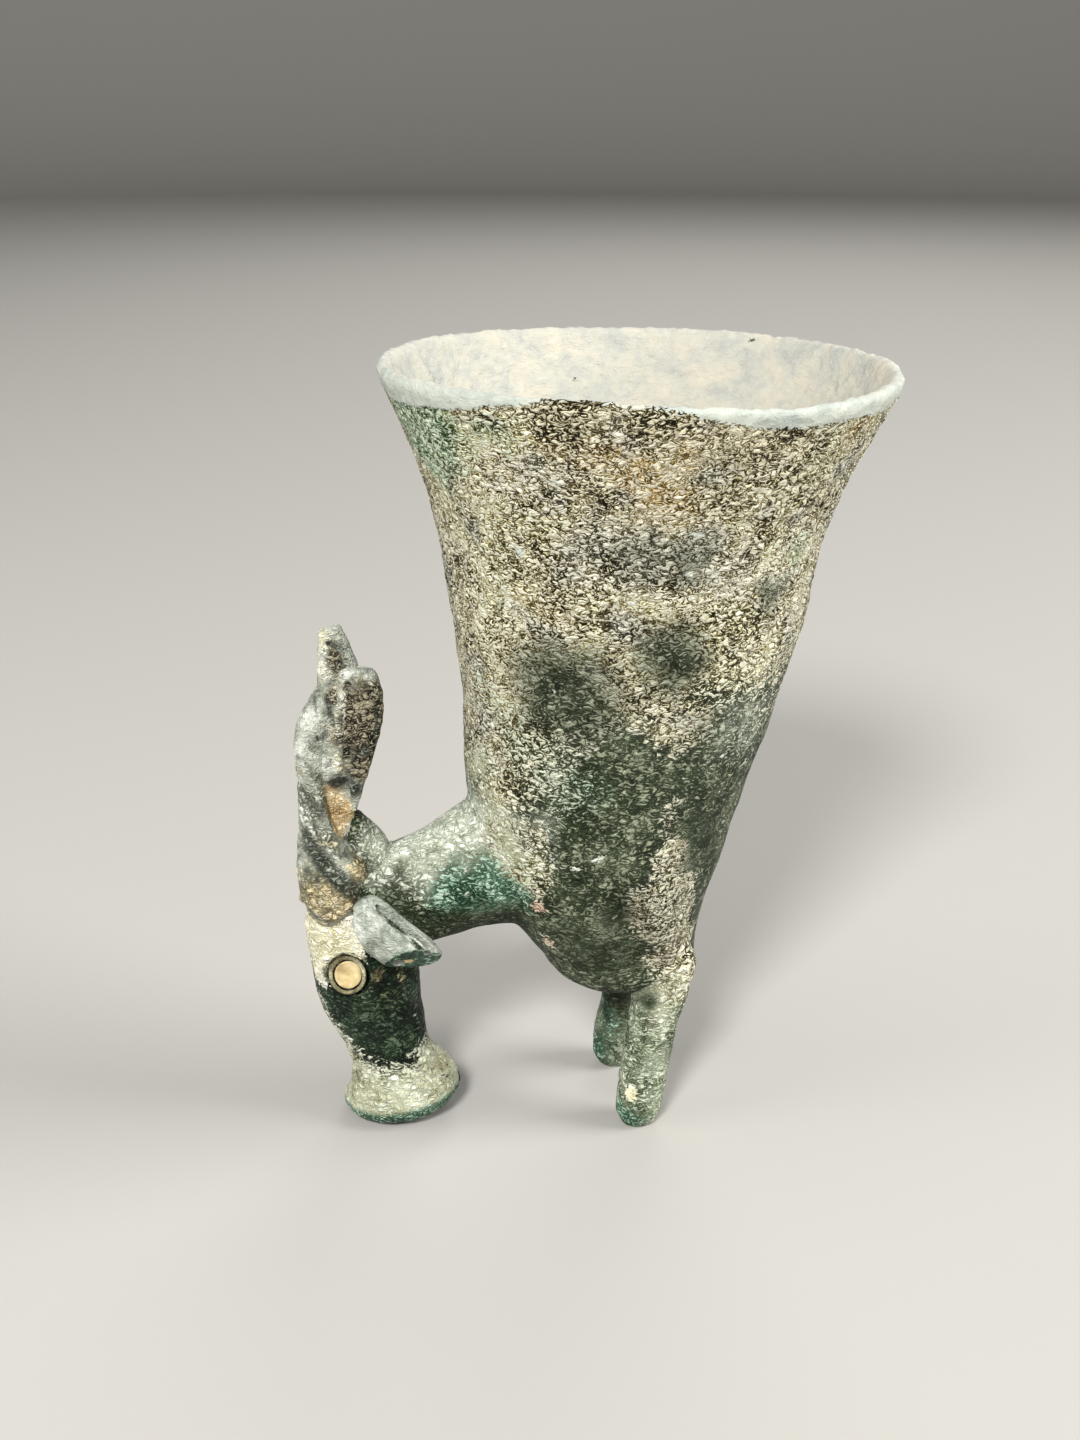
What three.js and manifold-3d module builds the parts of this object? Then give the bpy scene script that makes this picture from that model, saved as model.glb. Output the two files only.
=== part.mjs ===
// A small bronze rhyton: a flared beaker let into the cast chest and neck of a horned animal.
// It stands on the flared end of the muzzle and on two stub forelegs.
// Millimetres, +Z up. The head looks towards -X and the animal's left side faces -Y.
import * as THREE from "three";
import { mergeVertices } from "three/addons/utils/BufferGeometryUtils.js";
import Module from "manifold-3d";

const wasm = await Module();
wasm.setup();

// Driving dimensions
const WALL = 2.2;
const LIP_WALL = 1.5;
const GAP = 0.3;
const FLOOR = 3.2;
const SEAM_HEIGHT = 47;
const LAP = 4;
const SOLDER = 1;
const NECK_BORE = 1.7;
const SPOUT_BORE = 1.5;
const OVERRUN = 3;

// Outside of the vessel: height, front wall and back wall, up to the mouth
const VESSEL = [
  [22, -6.2, 13.4],
  [28, -10.9, 14.4],
  [36, -14.2, 16.7],
  [46, -15.8, 19.6],
  [56, -16.0, 22.8],
  [66, -17.2, 25.9],
  [76, -18.5, 27.4],
  [84, -20.4, 30.1],
  [91, -23.4, 33.6],
  [97.3, -26.1, 36.8],
];
const MOUTH = 97.3;
const BELLY_TOP = 22;
const BELLY_BOTTOM = 16.4;
const BELLY_DRIFT = 0.8;

// The hand-beaten mouth falls towards the back and waves a little on the left
const MOUTH_FALL = 0.018;
const MOUTH_DIP = 0.8;
const MOUTH_DIP_TURNS = 2.2;
const MOUTH_ONSET = 72;
const LIP_ONSET = 78;

// Limbs: each station is x, y, z, half size in the plane of the spine, half size across it
const NECK = [
  [-3.6, 0, 36.4, 10.5, 11],
  [-11.6, 0, 34.9, 8.8, 8.6],
  [-17.6, 0, 32.8, 7.2, 7.1],
  [-23.6, 0, 30.5, 6.6, 6.5],
  [-28.6, 0, 28.6, 6.4, 6.2],
];
const HEAD = [
  [-29.8, 0, 33, 5.2, 5.4],
  [-29.5, 0, 27.5, 6.9, 6.4],
  [-29.2, 0, 21.5, 6.8, 6.3],
  [-28.5, 0, 16.3, 6.3, 5.8],
  [-27.2, 0, 12.2, 5.4, 5],
  [-26.4, 0, 8.7, 5.1, 4.7],
];
const POLL_DOME = 3.6;
const KNOB_DOME = 0.8;
const NAPE_KNOB = [
  [-27.6, 0, 33, 3.2, 3.8],
  [-29, 0, 37.5, 2.9, 3.4],
  [-30, 0, 41.4, 1, 1.5],
];
const MUZZLE_LIP = [
  [-26.25, 0, 8.2, 5, 4.65],
  [-25.7, 0, 5.9, 5.9, 5.6],
  [-25.1, 0, 3.7, 7.3, 7],
  [-24.9, 0, 2.4, 7.6, 7.3],
];
const LIP_ROUND = 2.5;
const LIP_SPIGOT = 3.4;
const HEAD_SPIGOT = 4.2;
const HEAD_SPIGOT_END = [-20, 0, 31.9];
const HEAD_CENTRE = [-29, 0, 28.4];
const CHANNEL_BEND = [-29, 0, 29.6];

// Paired limbs are written for the animal's right side, +Y
const LEG = [
  [9.5, 5.2, 29, 2.6, 2.6],
  [9.2, 6.3, 22, 3.6, 3.4],
  [7.2, 7.2, 14.5, 3.25, 3.2],
  [5.6, 8, 5.5, 3.3, 3.25],
  [5.2, 8.1, 3.1, 3.2, 3.2],
];
const FOOT_DOME = 3.9;
const EAR_DOME = 0.6;
const EAR_SQUARE = 0.65;
const EAR = [
  [-30.6, 5, 31.3, 2.2, 1.4],
  [-28.6, 6.9, 29.8, 3.4, 2],
  [-25.8, 8.4, 27.5, 3.5, 2.2],
  [-23, 9.5, 25.8, 3, 2.1],
  [-21.2, 10, 24.9, 2.1, 1.6],
];
const EAR_OUTWARD = [-0.57, 0.79, -0.14];
const EAR_SLIT = { shift: [1.1, 1.4, 2.3], depth: 1.6, width: 0.5, startDome: 1, endDome: 3 };
// The end of the ear is cut off flat
const EAR_CROP = { through: [-26, 10.9, 26.9], facing: [0.04, 0.75, -0.66] };
const HORN_BEAM = [
  [-33.1, 3.5, 27.4, 1, 1.2],
  [-33, 3.6, 29.6, 3.2, 2.6],
  [-32.4, 3.7, 32.8, 5.1, 3.4],
  [-34.2, 3.1, 37.2, 3.5, 2.8],
  [-35.2, 2.6, 42.5, 2, 2.2],
  [-35.5, 2.5, 47.2, 1.5, 1.9],
  [-35.2, 2.5, 51.8, 2, 2.1],
  [-34.2, 2.5, 55.6, 2.1, 2.1],
  [-32.1, 2.5, 58.6, 2.1, 1.9],
];
const HORN_SQUARE = 0.6;
const HORN_CURL = [
  [-29.4, 2.5, 60.9, 2.3, 1.8],
  [-29.1, 2.6, 58.4, 2.8, 2.1],
  [-29.1, 2.7, 55, 2.7, 2.3],
  [-29.4, 2.6, 51.6, 2.2, 2],
  [-29.5, 2.5, 48.2, 1.3, 1.5],
  [-30, 2.4, 44.8, 0.7, 1],
  [-30.3, 2.3, 43.2, 0.5, 0.7],
];
const HORN_WEB = [
  [-31.8, 1.2, 36.5, 2.2, 0.7],
  [-32.3, 1.3, 41.5, 2.4, 0.9],
  [-32.4, 1.2, 45.6, 2.5, 0.7],
  [-32.3, 2.3, 49.2, 2.6, 2],
  [-32, 2.5, 53.5, 2.4, 2.2],
  [-31.4, 2.5, 59, 2, 2.1],
];
const HORN_SPIKE = [
  [-31, 2.5, 56, 3, 2],
  [-31.4, 2.5, 60.5, 2.5, 1.7],
  [-32.3, 2.5, 65.2, 1.4, 1.3],
];
// The right horn leans back from the left one and has lost the top of its curl
const RIGHT_HORN_LEAN = 1.2;
const HORN_DOME = { root: 0.7, tip: 1, curl: 0.6 };
const HORN_TANG = { from: [-33.8, 3.4, 38], to: [-31.3, 2.8, 30], radius: 1.2 };
const EYE = { centre: [-31.8, 5.75, 22.3], facing: [-0.33, 0.9, 0.25] };
const EYE_RING = { inner: 1.7, outer: 2.35, proud: 0.75, sunk: 1 };
const EYE_SOCKET = 2.8;
const EYE_INLAY = { proud: 0.35, dome: 0.15, flat: 0.6 };
const EYELID_DOME = 0.4;
const EYELID = [
  [-30, 5.8, 26, 0.7, 0.7],
  [-28.4, 6.3, 23.6, 0.9, 0.9],
  [-28.3, 6.2, 20.8, 0.9, 0.9],
  [-29.4, 5.8, 18.8, 0.6, 0.6],
];

const ACROSS = new THREE.Vector3(0, 1, 0);
const VESSEL_SIDES = 40;
const BEAKER_BANDS = 10;
const CHEST_BANDS = 6;
const LIMB_SIDES = 20;
const THICK_LIMB_SIDES = 24;
const SLIM_LIMB_SIDES = 16;
const FINE_SIDES = 12;
const TABLE = { width: 200, depth: 20 };
const LEFT = -1;
const RIGHT = 1;

// Closed lofts

function facingOut(geometry) {
  const p = geometry.attributes.position;
  const index = geometry.index.array;
  const [a, b, c] = [new THREE.Vector3(), new THREE.Vector3(), new THREE.Vector3()];
  let volume = 0;
  for (let i = 0; i < index.length; i += 3) {
    a.fromBufferAttribute(p, index[i]);
    b.fromBufferAttribute(p, index[i + 1]);
    c.fromBufferAttribute(p, index[i + 2]);
    volume += a.dot(b.cross(c));
  }
  if (volume < 0) index.reverse();
  return geometry;
}

// Skins a list of rings; an open list is closed by a pole at each end, a looped one by its own first ring
function loft(rings, poles) {
  const sides = rings[0].length;
  const points = rings.flat();
  const faces = [];
  const bands = poles ? rings.length - 1 : rings.length;
  for (let r = 0; r < bands; r++) {
    const next = (r + 1) % rings.length;
    for (let k = 0; k < sides; k++) {
      const [a, b] = [r * sides + k, r * sides + ((k + 1) % sides)];
      const [c, d] = [next * sides + k, next * sides + ((k + 1) % sides)];
      faces.push(a, b, d, a, d, c);
    }
  }
  if (poles) {
    const last = (rings.length - 1) * sides;
    points.push(...poles);
    for (let k = 0; k < sides; k++) {
      const next = (k + 1) % sides;
      faces.push(points.length - 2, next, k, points.length - 1, last + k, last + next);
    }
  }
  const geometry = new THREE.BufferGeometry().setFromPoints(points);
  geometry.setIndex(faces);
  return facingOut(geometry);
}

function limb(stations, options = {}) {
  const { hand = RIGHT, side = ACROSS, sides = LIMB_SIDES, steps = 2 } = options;
  const { startDome = 0, endDome = 0, grow = 0, square = 1 } = options;
  const rounded = (wave) => Math.sign(wave) * Math.abs(wave) ** square;
  const through = (pick) => new THREE.CatmullRomCurve3(stations.map(pick), false, "catmullrom");
  const spine = through(([x, y, z]) => new THREE.Vector3(x, y * hand, z));
  const girth = through(([, , , a, b]) => new THREE.Vector3(a + grow, b + grow, 0));
  const domeSteps = 3;
  const rings = [];
  const addRing = (t, shift, scale) => {
    const along = spine.getTangent(t);
    const centre = spine.getPoint(t).addScaledVector(along, shift);
    const across = side.clone().addScaledVector(along, -side.dot(along)).normalize();
    const inPlane = new THREE.Vector3().crossVectors(across, along);
    const { x: a, y: b } = girth.getPoint(t);
    const ring = [];
    for (let k = 0; k < sides; k++) {
      const turn = (k / sides) * 2 * Math.PI;
      const point = centre.clone().addScaledVector(inPlane, a * scale * rounded(Math.cos(turn)));
      ring.push(point.addScaledVector(across, b * scale * rounded(Math.sin(turn))));
    }
    rings.push(ring);
  };
  const addDome = (t, length) => {
    const turns = Array.from({ length: domeSteps - 1 }, (_, i) => ((i + 1) / domeSteps) * (Math.PI / 2));
    if (t === 0) turns.reverse();
    for (const turn of turns) addRing(t, length * Math.sin(turn), Math.cos(turn));
  };
  if (startDome) addDome(0, -startDome - grow);
  const count = (stations.length - 1) * steps;
  for (let i = 0; i <= count; i++) addRing(i / count, 0, 1);
  if (endDome) addDome(1, endDome + grow);
  const tip = (t, shift) => spine.getPoint(t).addScaledVector(spine.getTangent(t), shift);
  return loft(rings, [tip(0, -startDome - grow), tip(1, endDome + grow)]);
}

// A straight round bar between two points
function bar(from, to, radius, sides = LIMB_SIDES) {
  const ends = [from, to].map((end) => new THREE.Vector3(...end));
  const along = ends[1].clone().sub(ends[0]);
  const geometry = new THREE.CylinderGeometry(radius, radius, along.length(), sides);
  const turn = new THREE.Quaternion().setFromUnitVectors(ACROSS, along.clone().normalize());
  geometry.applyQuaternion(turn);
  return geometry.translate(...ends[0].clone().add(ends[1]).multiplyScalar(0.5));
}

// Joining and cutting

function solid(geometry) {
  const bare = geometry.clone();
  bare.deleteAttribute("normal");
  bare.deleteAttribute("uv");
  const merged = mergeVertices(bare);
  const vertProperties = merged.attributes.position.array;
  const triVerts = new Uint32Array(merged.index.array);
  return new wasm.Manifold(new wasm.Mesh({ numProp: 3, vertProperties, triVerts }));
}

function cut(body, ...tools) {
  return tools.reduce((left, tool) => left.subtract(tool), body);
}

function join(body, ...others) {
  return others.reduce((whole, other) => whole.add(other), body);
}

function surface(body) {
  const { vertProperties, triVerts } = body.getMesh();
  const geometry = new THREE.BufferGeometry();
  geometry.setAttribute("position", new THREE.BufferAttribute(new Float32Array(vertProperties), 3));
  geometry.setIndex(new THREE.BufferAttribute(new Uint32Array(triVerts), 1));
  geometry.computeVertexNormals();
  return geometry;
}

// The vessel wall

const vesselOutline = new THREE.CubicInterpolant(
  VESSEL.map(([z]) => z),
  VESSEL.flatMap(([, front, back]) => [front, back]),
  2,
);

function mouthShift(z, along, turn) {
  const onset = THREE.MathUtils.smoothstep(z, MOUTH_ONSET, MOUTH);
  const leftSide = Math.max(0, -Math.sin(turn)) ** 2;
  const dip = MOUTH_DIP * leftSide * Math.sin(MOUTH_DIP_TURNS * (turn + Math.PI / 2));
  return onset * (-MOUTH_FALL * along - dip);
}

// One ring of the vessel at a height, pulled inwards by inset
function vesselRing(height, inset) {
  const [front, back] = vesselOutline.evaluate(Math.max(height, BELLY_TOP));
  const fallen = Math.max(0, BELLY_TOP - height) / (BELLY_TOP - BELLY_BOTTOM);
  const radius = ((back - front) / 2) * Math.sqrt(1 - Math.min(fallen, 1) ** 2) - inset;
  const centre = (front + back) / 2 + BELLY_DRIFT * fallen;
  const ring = [];
  for (let k = 0; k < VESSEL_SIDES; k++) {
    const turn = (k / VESSEL_SIDES) * 2 * Math.PI - Math.PI;
    const along = radius * Math.cos(turn);
    const z = height + mouthShift(height, along, turn);
    ring.push(new THREE.Vector3(centre + along, radius * Math.sin(turn), z));
  }
  return ring;
}

function heights(from, to, count) {
  return Array.from({ length: count + 1 }, (_, i) => THREE.MathUtils.lerp(from, to, i / count));
}

// The wall thins towards the lip
function wallAt(z) {
  return THREE.MathUtils.lerp(WALL, LIP_WALL, THREE.MathUtils.smoothstep(z, LIP_ONSET, MOUTH));
}

function beaker() {
  const spigotInset = (WALL + GAP) / 2;
  const spigotEnd = SEAM_HEIGHT - LAP;
  const lipRadius = LIP_WALL / 2;
  const lipBase = MOUTH - lipRadius;
  const outside = heights(SEAM_HEIGHT, lipBase, BEAKER_BANDS).map((z) => vesselRing(z, 0));
  const inside = heights(lipBase, spigotEnd, BEAKER_BANDS).map((z) => vesselRing(z, wallAt(z)));
  const lip = [0.25, 0.5, 0.75].map((part) => {
    const turn = part * Math.PI;
    return vesselRing(lipBase + lipRadius * Math.sin(turn), lipRadius * (1 - Math.cos(turn)));
  });
  const spigot = [spigotEnd, SEAM_HEIGHT].map((z) => vesselRing(z, spigotInset));
  return loft([...spigot, ...outside, ...lip, ...inside]);
}

// Chest bowl heights crowd together towards the round bottom
function bellyHeights(bottom) {
  return [0.06, 0.14, 0.3, 0.55, 0.8].map((part) => THREE.MathUtils.lerp(bottom, BELLY_TOP, part));
}

function chestOutside(grow = 0) {
  const top = SEAM_HEIGHT - GAP;
  const levels = [...bellyHeights(BELLY_BOTTOM), ...heights(BELLY_TOP, top, CHEST_BANDS)];
  const rings = levels.map((z) => vesselRing(z, -grow));
  const [front, back] = vesselOutline.evaluate(BELLY_TOP);
  const bottom = new THREE.Vector3((front + back) / 2 + BELLY_DRIFT, 0, BELLY_BOTTOM - grow);
  const [topFront, topBack] = vesselOutline.evaluate(top);
  return loft(rings, [bottom, new THREE.Vector3((topFront + topBack) / 2, 0, top)]);
}

function chestHollow() {
  const ledge = SEAM_HEIGHT - LAP - SOLDER - 2 * GAP;
  const socketInset = (WALL - GAP) / 2;
  const above = SEAM_HEIGHT + GAP;
  const bowl = heights(BELLY_TOP, ledge, CHEST_BANDS).map((z) => vesselRing(z, WALL));
  const socket = heights(ledge, above, 2).map((z) => vesselRing(z, socketInset));
  const [front, back] = vesselOutline.evaluate(BELLY_TOP);
  const bottom = new THREE.Vector3((front + back) / 2, 0, BELLY_BOTTOM + FLOOR);
  const [topFront, topBack] = vesselOutline.evaluate(above);
  return loft([...bowl, ...socket], [bottom, new THREE.Vector3((topFront + topBack) / 2, 0, above)]);
}

function seamSolder() {
  const top = SEAM_HEIGHT - LAP - GAP;
  const bottom = top - SOLDER;
  const outer = (WALL + GAP) / 2;
  const corners = [[bottom, outer], [top, outer], [top, WALL], [bottom, WALL]];
  return loft(corners.map(([z, inset]) => vesselRing(z, inset)));
}

// The animal

const neckStart = [NECK[0][0], 0, NECK[0][2]];
const waist = MUZZLE_LIP[0];
const lipEnd = MUZZLE_LIP.at(-1);
const lipAxis = new THREE.Vector3(lipEnd[0] - waist[0], 0, lipEnd[2] - waist[2]).normalize();
const spoutEnd = [lipEnd[0] + lipAxis.x * LIP_ROUND, 0, lipEnd[2] + lipAxis.z * LIP_ROUND];

function onAxis(point, distance) {
  return [point[0] + lipAxis.x * distance, 0, point[2] + lipAxis.z * distance];
}

const table = new THREE.BoxGeometry(TABLE.width, TABLE.width, TABLE.depth);
const below = solid(table.translate(0, 0, -TABLE.depth / 2));
const neckChannel = solid(bar(neckStart, HEAD_CENTRE, NECK_BORE, FINE_SIDES));
const muzzleChannel = solid(bar(CHANNEL_BEND, onAxis(waist, -SOLDER), NECK_BORE, FINE_SIDES));
const spoutChannel = solid(bar(onAxis(waist, -OVERRUN), onAxis(spoutEnd, OVERRUN), SPOUT_BORE, FINE_SIDES));
const skull = (grow) => solid(limb(HEAD, { startDome: POLL_DOME, grow }));
const knob = (grow) => solid(limb(NAPE_KNOB, { endDome: KNOB_DOME, sides: SLIM_LIMB_SIDES, grow }));

function neckSpigot(radius, extra) {
  const end = new THREE.Vector3(...HEAD_SPIGOT_END);
  const start = new THREE.Vector3(...HEAD_CENTRE);
  const reach = end.clone().sub(start).normalize().multiplyScalar(extra);
  return solid(bar(HEAD_CENTRE, end.add(reach).toArray(), radius));
}

function protomeBody() {
  const shell = join(solid(chestOutside()), solid(limb(NECK, { sides: THICK_LIMB_SIDES })));
  const socket = neckSpigot(HEAD_SPIGOT + GAP, SOLDER + 2 * GAP);
  return surface(cut(shell, solid(chestHollow()), neckChannel, skull(GAP), knob(GAP), socket));
}

function neckSolder() {
  const start = new THREE.Vector3(...HEAD_SPIGOT_END);
  const along = start.clone().sub(new THREE.Vector3(...HEAD_CENTRE)).normalize();
  const near = start.clone().addScaledVector(along, GAP).toArray();
  const far = start.clone().addScaledVector(along, GAP + SOLDER).toArray();
  return surface(cut(solid(bar(near, far, HEAD_SPIGOT)), neckChannel));
}

function eyeFrame(hand) {
  const [x, y, z] = EYE.centre;
  const [dx, dy, dz] = EYE.facing;
  const turn = new THREE.Quaternion();
  turn.setFromUnitVectors(ACROSS, new THREE.Vector3(dx, dy * hand, dz).normalize());
  return new THREE.Matrix4().compose(new THREE.Vector3(x, y * hand, z), turn, new THREE.Vector3(1, 1, 1));
}

function eyeSocket(hand) {
  const depth = EYE_RING.sunk + GAP;
  const reach = 4;
  const radius = EYE_SOCKET;
  const pit = new THREE.CylinderGeometry(radius, radius, depth + reach, SLIM_LIMB_SIDES);
  return solid(pit.translate(0, (reach - depth) / 2, 0).applyMatrix4(eyeFrame(hand)));
}

function eyeRing(hand) {
  const { inner, outer, proud, sunk } = EYE_RING;
  const round = (outer - inner) / 2;
  const crown = [0, 0.33, 0.67, 1].map((part) => {
    const turn = part * Math.PI;
    return new THREE.Vector2(outer - round + round * Math.cos(turn), proud - round + round * Math.sin(turn));
  });
  const base = [new THREE.Vector2(inner, -sunk), new THREE.Vector2(outer, -sunk)];
  const profile = [...base, ...crown, base[0]];
  return new THREE.LatheGeometry(profile, SLIM_LIMB_SIDES).applyMatrix4(eyeFrame(hand));
}

function eyeInlay(hand) {
  const radius = EYE_RING.inner - GAP;
  const { proud, dome, flat } = EYE_INLAY;
  const back = -EYE_RING.sunk;
  const side = [[0, back], [radius, back], [radius, proud - dome]];
  const profile = [...side, [flat * radius, proud], [0, proud]];
  const points = profile.map(([r, h]) => new THREE.Vector2(r, h));
  return new THREE.LatheGeometry(points, SLIM_LIMB_SIDES).applyMatrix4(eyeFrame(hand));
}

function hornTang(hand, grow) {
  const place = ([x, y, z]) => new THREE.Vector3(x, y * hand, z);
  const [from, to] = [place(HORN_TANG.from), place(HORN_TANG.to)];
  to.addScaledVector(to.clone().sub(from).normalize(), grow);
  return solid(bar(from.toArray(), to.toArray(), HORN_TANG.radius + grow, FINE_SIDES));
}

function head() {
  const lipSpigot = solid(bar(onAxis(waist, -OVERRUN), onAxis(spoutEnd, -SOLDER), LIP_SPIGOT));
  const lidEnds = { sides: FINE_SIDES, startDome: EYELID_DOME, endDome: EYELID_DOME };
  const lids = [LEFT, RIGHT].map((hand) => solid(limb(EYELID, { hand, ...lidEnds })));
  const bone = join(skull(0), knob(0), ...lids, lipSpigot, neckSpigot(HEAD_SPIGOT, 0));
  const sockets = [LEFT, RIGHT].flatMap((hand) => [eyeSocket(hand), hornTang(hand, GAP)]);
  return surface(cut(bone, neckChannel, muzzleChannel, spoutChannel, ...sockets));
}

function muzzleLip() {
  const flare = solid(limb(MUZZLE_LIP, { endDome: LIP_ROUND, sides: THICK_LIMB_SIDES }));
  const seat = solid(bar(onAxis(waist, -OVERRUN), onAxis(spoutEnd, OVERRUN), LIP_SPIGOT + GAP));
  return surface(cut(flare, seat, skull(GAP), below));
}

function foreleg(hand) {
  const leg = solid(limb(LEG, { hand, endDome: FOOT_DOME, sides: SLIM_LIMB_SIDES }));
  return surface(cut(leg, solid(chestOutside(GAP)), below));
}

function ear(hand) {
  const [dx, dy, dz] = EAR_OUTWARD;
  const side = new THREE.Vector3(dx, dy * hand, dz);
  const shape = { hand, side, sides: SLIM_LIMB_SIDES, square: EAR_SQUARE, endDome: EAR_DOME };
  const [fx, fy, fz] = EAR_CROP.facing;
  const [px, py, pz] = EAR_CROP.through;
  const inwards = new THREE.Vector3(-fx, -fy * hand, -fz).normalize();
  const offset = inwards.dot(new THREE.Vector3(px, py * hand, pz));
  const leaf = solid(limb(EAR, shape)).trimByPlane(inwards.toArray(), offset);
  const { shift, depth, width, startDome, endDome } = EAR_SLIT;
  const edge = EAR.slice(1, -1);
  const groove = edge.map(([x, y, z]) => [x + shift[0], y + shift[1], z + shift[2], depth, width]);
  const slit = solid(limb(groove, { hand, side, sides: FINE_SIDES, startDome, endDome }));
  const root = { hand, sides: SLIM_LIMB_SIDES, startDome: HORN_DOME.root, grow: GAP };
  const hornBase = solid(limb(HORN_BEAM.slice(0, 5), root));
  return surface(cut(leaf, slit, skull(GAP), hornBase, solid(limb(NECK, { grow: GAP }))));
}

function hornMass(hand) {
  const right = hand === RIGHT;
  const lean = right ? RIGHT_HORN_LEAN : 0;
  const base = HORN_BEAM[0][2];
  const rise = HORN_BEAM.at(-1)[2] - base;
  const leaned = (stations) =>
    stations.map(([x, y, z, a, b]) => [x + (lean * Math.max(0, z - base)) / rise, y, z, a, b]);
  const curlStations = right ? HORN_CURL.slice(1) : HORN_CURL;
  const ends = { startDome: HORN_DOME.root, endDome: HORN_DOME.tip };
  const beam = solid(limb(leaned(HORN_BEAM), { hand, sides: SLIM_LIMB_SIDES, ...ends }));
  const slab = { hand, sides: SLIM_LIMB_SIDES, square: HORN_SQUARE };
  const curl = solid(limb(curlStations, { ...slab, startDome: HORN_DOME.curl }));
  const web = solid(limb(leaned(HORN_WEB), { hand, sides: FINE_SIDES, steps: 1 }));
  const mass = join(beam, curl, web);
  return right ? join(mass, solid(limb(HORN_SPIKE, slab))) : mass;
}

function horn(hand) {
  const seated = cut(hornMass(hand), skull(GAP), knob(GAP));
  return surface(join(seated, hornTang(hand, 0)));
}

// Finishes

const finish = (color, roughness, metalness) => ({ color, roughness, metalness });
const CRUST = finish(0x9a8b68, 0.9, 0.2);
const PATINA = finish(0x3f5a48, 0.7, 0.4);
const PALE_PATINA = finish(0x8d9a84, 0.75, 0.3);
const EARTH = finish(0xb08a5c, 0.9, 0);
const SOLDER_GREY = finish(0x7d8080, 0.5, 0.8);

const rhyton = new THREE.Group();

function addPiece(name, geometry, look) {
  const piece = new THREE.Mesh(geometry, new THREE.MeshStandardMaterial(look));
  piece.name = name;
  rhyton.add(piece);
}

addPiece("beaker", beaker(), CRUST);
addPiece("protome_body", protomeBody(), PATINA);
addPiece("seam_solder", seamSolder(), SOLDER_GREY);
addPiece("head", head(), PATINA);
addPiece("neck_solder", neckSolder(), SOLDER_GREY);
addPiece("muzzle_lip", muzzleLip(), PALE_PATINA);
for (const [name, hand] of [["left", LEFT], ["right", RIGHT]]) {
  addPiece(`${name}_foreleg`, foreleg(hand), PALE_PATINA);
  addPiece(`${name}_ear`, ear(hand), PALE_PATINA);
  addPiece(`${name}_horn`, horn(hand), PALE_PATINA);
  addPiece(`${name}_eye_ring`, eyeRing(hand), PALE_PATINA);
  addPiece(`${name}_eye_inlay`, eyeInlay(hand), EARTH);
}

// The origin is the middle of the base of the whole object
const box = new THREE.Box3().setFromObject(rhyton);
rhyton.position.set(-(box.min.x + box.max.x) / 2, -(box.min.y + box.max.y) / 2, -box.min.z);

export default rhyton;
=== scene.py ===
from math import atan2, tau

import bmesh
import bpy
from mathutils import Matrix, Vector, noise
from mathutils.bvhtree import BVHTree
from mathutils.geometry import intersect_point_line


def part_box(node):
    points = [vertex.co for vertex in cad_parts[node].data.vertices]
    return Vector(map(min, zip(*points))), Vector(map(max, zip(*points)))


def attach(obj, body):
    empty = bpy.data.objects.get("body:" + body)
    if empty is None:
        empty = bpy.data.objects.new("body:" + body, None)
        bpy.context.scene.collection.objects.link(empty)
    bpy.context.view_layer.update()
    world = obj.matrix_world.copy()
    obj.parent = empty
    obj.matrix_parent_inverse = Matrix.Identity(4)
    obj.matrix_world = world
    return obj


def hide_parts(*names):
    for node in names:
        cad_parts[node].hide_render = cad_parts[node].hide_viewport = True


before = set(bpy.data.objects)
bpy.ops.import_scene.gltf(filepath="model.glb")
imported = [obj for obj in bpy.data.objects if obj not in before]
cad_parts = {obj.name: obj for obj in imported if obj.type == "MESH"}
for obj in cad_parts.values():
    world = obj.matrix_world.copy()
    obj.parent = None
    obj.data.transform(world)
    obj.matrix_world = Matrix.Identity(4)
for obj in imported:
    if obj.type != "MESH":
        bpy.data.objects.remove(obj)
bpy.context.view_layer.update()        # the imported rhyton, every node in its place
mm = 0.001
body = "root"
# One seed, so that every run lays the same stains, painted shade and painted highlights
noise.seed_set(2)


# Camera: a short portrait lens, above the mouth and a little towards the animal's face
camera = {"place": (-38.9, -234.1, 134.4), "aim": (-6.0, 0.0, 53.0), "lens": 50.0, "sensor": 36.0}


def setCamera():
    lens = bpy.data.cameras.new("camera")
    lens.sensor_fit = "VERTICAL"
    lens.sensor_width = lens.sensor_height = camera["sensor"]
    lens.lens = camera["lens"]
    lens.clip_start = 0.01
    holder = bpy.data.objects.new("camera", lens)
    bpy.context.collection.objects.link(holder)
    place, aim = Vector(camera["place"]) * mm, Vector(camera["aim"]) * mm
    holder.location = place
    holder.rotation_euler = (aim - place).to_track_quat("-Z", "Y").to_euler()
    bpy.context.scene.camera = holder


setCamera()
print("camera set")


# Colours are written as sRGB hex
def linear(hexColour):
    channels = [int(hexColour[i:i + 2], 16) / 255 for i in (1, 3, 5)]
    return [c / 12.92 if c < 0.04045 else ((c + 0.055) / 1.055) ** 2.4 for c in channels] + [1.0]


# Adds one node: inputs are values or sockets, ramp is a list of (position, hex)
def put(tree, kind, inputs=None, ramp=None, **settings):
    node = tree.nodes.new("ShaderNode" + kind)
    for key, value in settings.items():
        setattr(node, key, value)
    for key, value in (inputs or {}).items():
        if isinstance(value, bpy.types.NodeSocket):
            tree.links.new(value, node.inputs[key])
        else:
            node.inputs[key].default_value = value
    if ramp:
        elements = node.color_ramp.elements
        while len(elements) < len(ramp):
            elements.new(1.0)
        for stop, (position, colour) in zip(elements, ramp):
            stop.position = position
            stop.color = linear(colour)
    return node


# Noise scale for a pattern of a real size in millimetres
def perMm(size):
    return 1 / (size * mm)


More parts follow.
